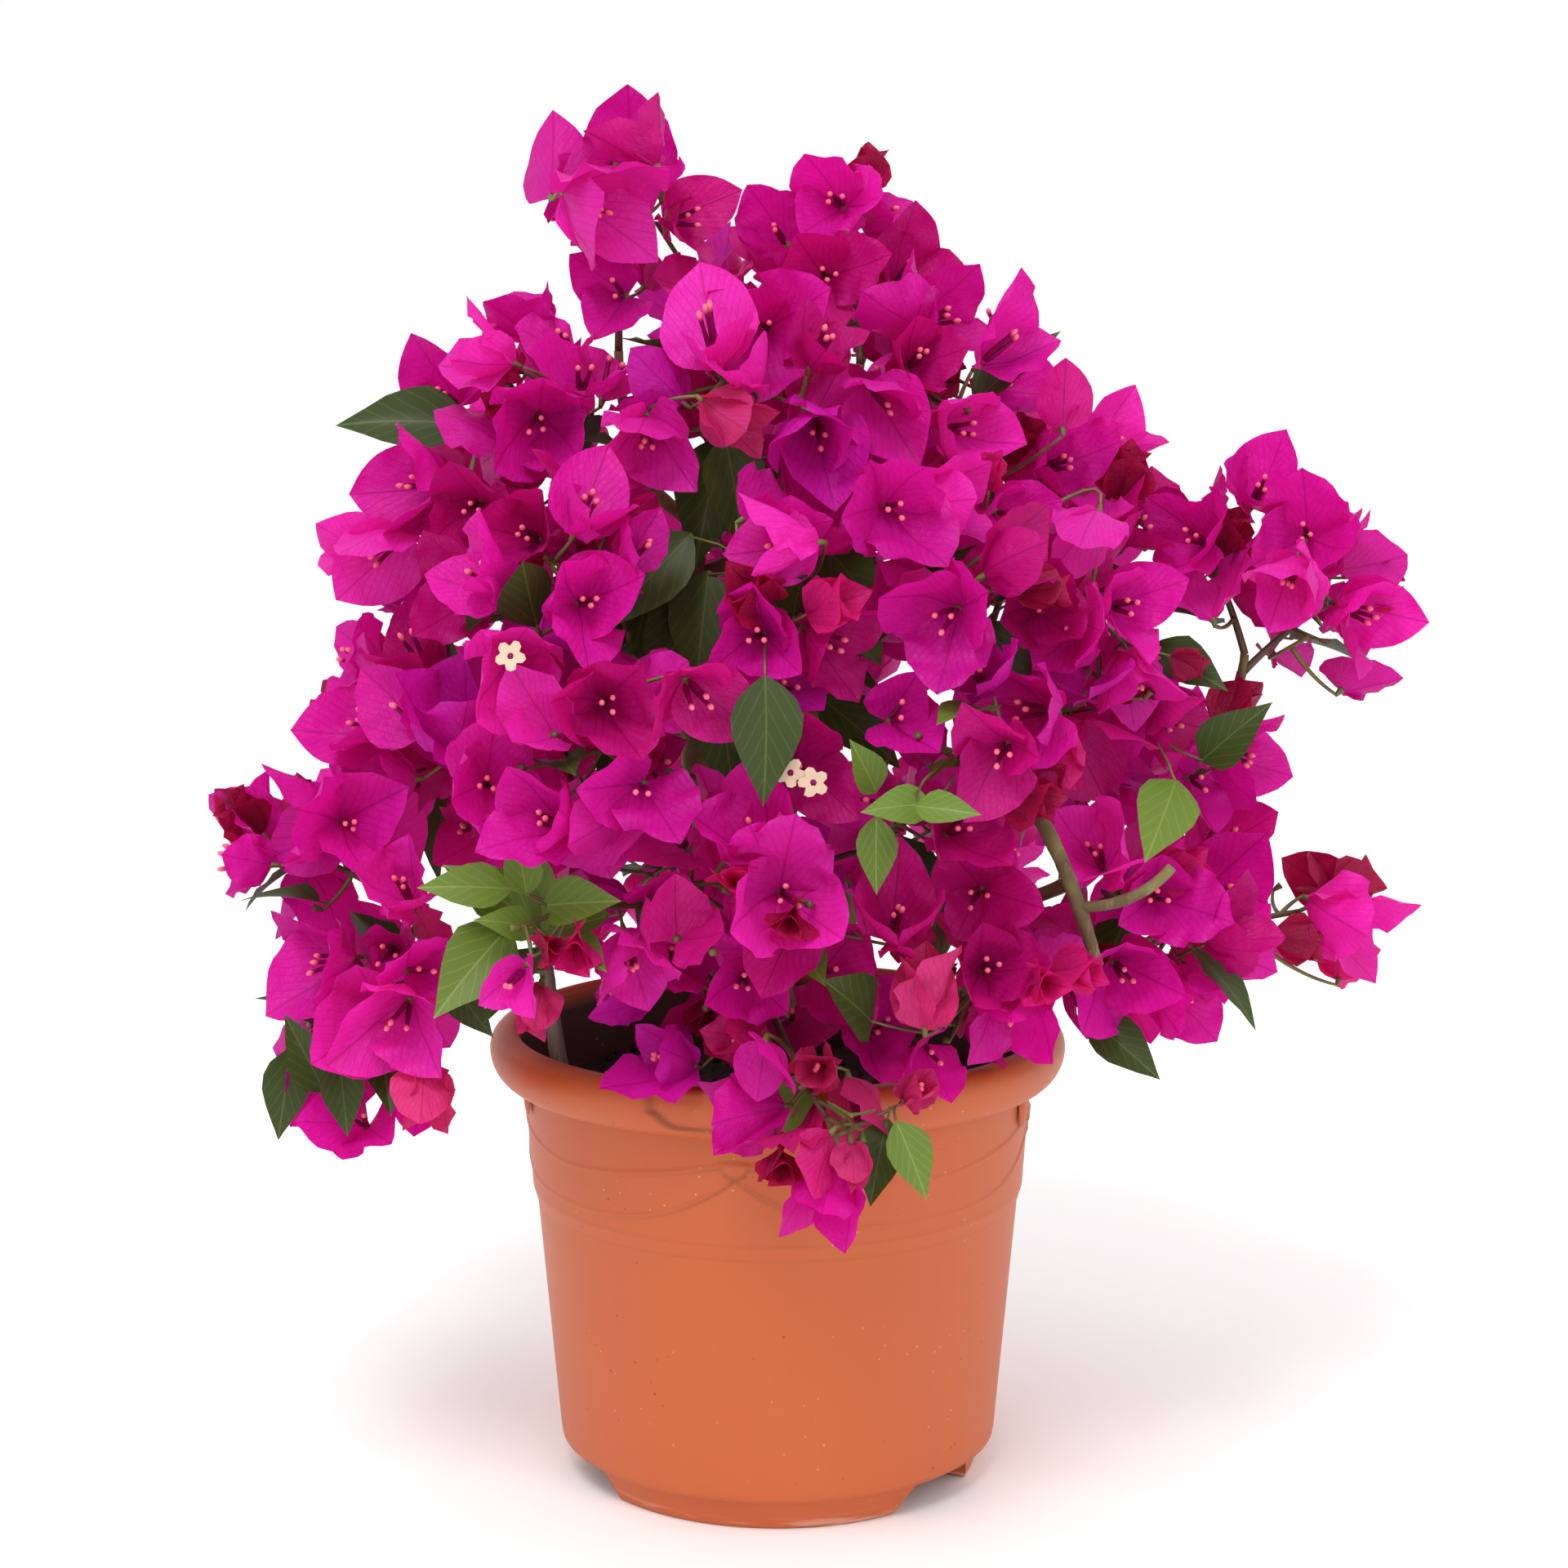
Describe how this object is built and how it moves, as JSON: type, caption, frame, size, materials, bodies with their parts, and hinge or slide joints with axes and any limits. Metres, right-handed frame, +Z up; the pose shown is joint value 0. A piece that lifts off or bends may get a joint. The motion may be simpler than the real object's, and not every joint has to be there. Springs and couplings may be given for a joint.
{
  "type": "potted flowering bush",
  "caption": "Bushy bougainvillea in full pink blossom on slim woody stems, standing in a round tapered plastic pot filled with soil.",
  "frame": {"origin": "middle of the pot's underside, on the floor", "axes": "+Z up along the pot's turning axis, -Y towards the front of the bush, +X to its right"},
  "size_m": [0.3852, 0.3028, 0.4474],
  "materials": {
    "plastic": "matte moulded plastic",
    "peat": "loose moist peat",
    "bark": "green brown bark",
    "grey_bark": "dry grey bark",
    "bloom": "papery bracts"
  },
  "bodies": {
    "root": {"pot": "plastic", "soil": "peat", "trunk": "bark", "stem_right": "bark", "stem_left": "grey_bark", "stem_back": "bark", "bough_top_left": "bark", "bough_top_right": "bark", "bough_left_shoulder": "bark", "bough_front_left": "bark", "bough_front_right": "bark", "bough_low_front": "bark", "bough_sprig": "bark", "bough_right_centre": "bark", "bough_low_right": "bark", "bough_right_low": "bark", "arm_lower": "bark", "arm_upper": "bark", "pruned_limb": "bark", "pruned_fork": "bark", "bough_left_low": "bark", "bough_back_left": "bark", "bough_back_right": "bark", "bough_back_low": "bark", "top_left": "bloom", "top_right": "bloom", "upper_left": "bloom", "upper_middle": "bloom", "upper_right": "bloom", "left_shoulder": "bloom", "left_front": "bloom", "middle_front": "bloom", "right_front": "bloom", "right_shoulder": "bloom", "right_side": "bloom", "arm_inner": "bloom", "arm_outer": "bloom", "left_middle": "bloom", "left_low": "bloom", "centre_left": "bloom", "centre": "bloom", "right_centre": "bloom", "right_pocket": "bloom", "right_low": "bloom", "right_outer": "bloom", "low_left": "bloom", "leafy_left": "bloom", "low_middle": "bloom", "front_sprig": "bloom", "low_right": "bloom", "inner": "bloom", "back_top": "bloom", "back_upper_left": "bloom", "back_upper_right": "bloom", "back_middle": "bloom", "back_left": "bloom", "back_right": "bloom", "back_low_left": "bloom", "back_low_right": "bloom"}
  },
  "joints": []
}
